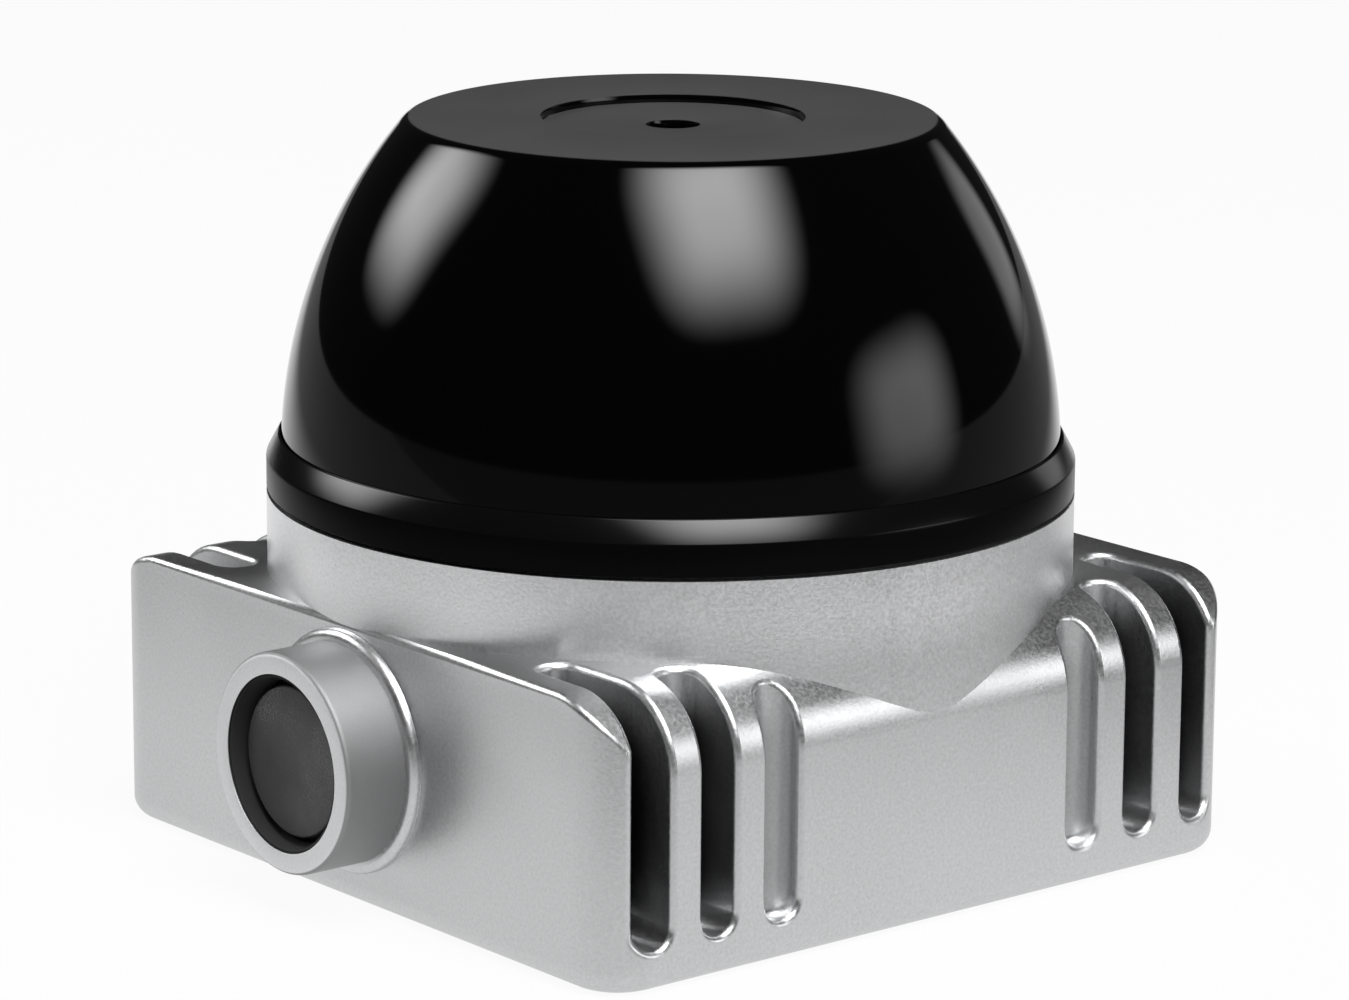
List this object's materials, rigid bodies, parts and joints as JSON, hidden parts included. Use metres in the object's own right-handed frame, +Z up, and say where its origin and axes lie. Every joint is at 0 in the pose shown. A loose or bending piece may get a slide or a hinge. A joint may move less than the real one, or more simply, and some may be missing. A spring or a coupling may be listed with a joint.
{
  "type": "lidar sensor",
  "caption": "Compact dome lidar sensor with slotted square cast base, round side connector, spinning mirror head and spinning wedge prism under a dark window.",
  "frame": {"origin": "centre of the flat underside, on the dome's axis", "axes": "+Z up along the dome's axis, connector towards -X, cooling slots in the +Y and -Y sides"},
  "size_m": [0.0713, 0.065, 0.059],
  "materials": {
    "housing_metal": "satin bead-blasted casting",
    "cover_metal": "satin plate",
    "seal": "matte",
    "fastener_steel": "plain",
    "vent_plastic": "matte",
    "window": "polished, with a matte flat top",
    "ring": "satin black",
    "connector_metal": "satin, turned",
    "insulator": "matte",
    "contacts": "plated",
    "plug": "speckled matte",
    "circuit_board": "solder mask",
    "chips": "matte",
    "flex": "polyimide film",
    "thermal_pad": "matte",
    "standoff_brass": "plain",
    "black_anodised": "black anodised",
    "optical_glass": "polished and coated",
    "mirror_coating": "front-coated",
    "bearing_steel": "ground",
    "cage_plastic": "matte",
    "stator_steel": "stacked sheet",
    "copper": "enamelled winding",
    "magnet": "nickel plated",
    "rotor_metal": "turned",
    "encoder_metal": "etched",
    "weight_brass": "turned"
  },
  "bodies": {
    "root": {"base_housing": "housing_metal", "bottom_cover": "cover_metal", "bottom_cover_seal": "seal", "bottom_cover_screws": "fastener_steel", "pressure_vent": "vent_plastic", "dome_window": "window", "window_ring": "ring", "window_gasket": "seal", "connector_shell": "connector_metal", "connector_insert": "insulator", "connector_pins": "contacts", "connector_o_ring": "seal", "connector_board": "circuit_board", "connector_flex_circuit": "flex", "main_board": "circuit_board", "main_board_chips": "chips", "processor": "chips", "thermal_pad": "thermal_pad", "board_standoffs": "standoff_brass", "board_screws": "fastener_steel", "board_connector": "insulator", "transceiver_board": "circuit_board", "laser_emitter": "chips", "photo_detector": "chips", "transceiver_body": "black_anodised", "transceiver_screws": "fastener_steel", "lens_barrel": "black_anodised", "field_lens": "optical_glass", "objective_lens": "optical_glass", "lens_retaining_ring": "black_anodised", "rotor_frame": "rotor_metal", "frame_screws": "fastener_steel", "prism_bearing_outer_race": "bearing_steel", "head_bearing_outer_race": "bearing_steel", "bearing_clip": "fastener_steel", "prism_motor_stator": "stator_steel", "prism_motor_coils": "copper", "head_motor_stator": "stator_steel", "head_motor_coils": "copper", "motor_board": "circuit_board", "encoder_reader": "chips", "motor_flex_circuit": "flex", "motor_flex_socket": "insulator"},
    "prism_rotor": {"prism_sleeve": "rotor_metal", "wedge_prism": "optical_glass", "prism_magnets": "magnet", "prism_bearing_inner_race": "bearing_steel"},
    "prism_rolling_set": {"prism_bearing_balls": "bearing_steel", "prism_bearing_cage": "cage_plastic"},
    "scan_head": {"scan_head_hub": "rotor_metal", "mirror_bracket": "rotor_metal", "bracket_screws": "fastener_steel", "scan_mirror": "mirror_coating", "head_magnets": "magnet", "head_bearing_inner_race": "bearing_steel", "encoder_disc": "encoder_metal", "balance_weight": "weight_brass"},
    "head_rolling_set": {"head_bearing_balls": "bearing_steel", "head_bearing_cage": "cage_plastic"},
    "dust_plug": {"connector_dust_plug": "plug"}
  },
  "joints": [
    {"name": "prism_spin", "type": "hinge", "parent": "root", "child": "prism_rotor", "pos_m": [0, 0, 0.028], "axis": [0, 0, 1], "continuous": true},
    {"name": "prism_bearing_roll", "type": "hinge", "parent": "root", "child": "prism_rolling_set", "pos_m": [0, 0, 0.028], "axis": [0, 0, 1], "continuous": true},
    {"name": "head_spin", "type": "hinge", "parent": "root", "child": "scan_head", "pos_m": [0, 0, 0.036], "axis": [0, 0, 1], "continuous": true},
    {"name": "head_bearing_roll", "type": "hinge", "parent": "root", "child": "head_rolling_set", "pos_m": [0, 0, 0.036], "axis": [0, 0, 1], "continuous": true},
    {"name": "dust_plug_pull", "type": "slide", "parent": "root", "child": "dust_plug", "axis": [-1, 0, 0], "range_m": [0, 0.0042]}
  ],
  "couplings": [
    {"joint": "prism_bearing_roll", "follows": "prism_spin", "ratio": 0.46667},
    {"joint": "head_bearing_roll", "follows": "head_spin", "ratio": 0.46667}
  ]
}
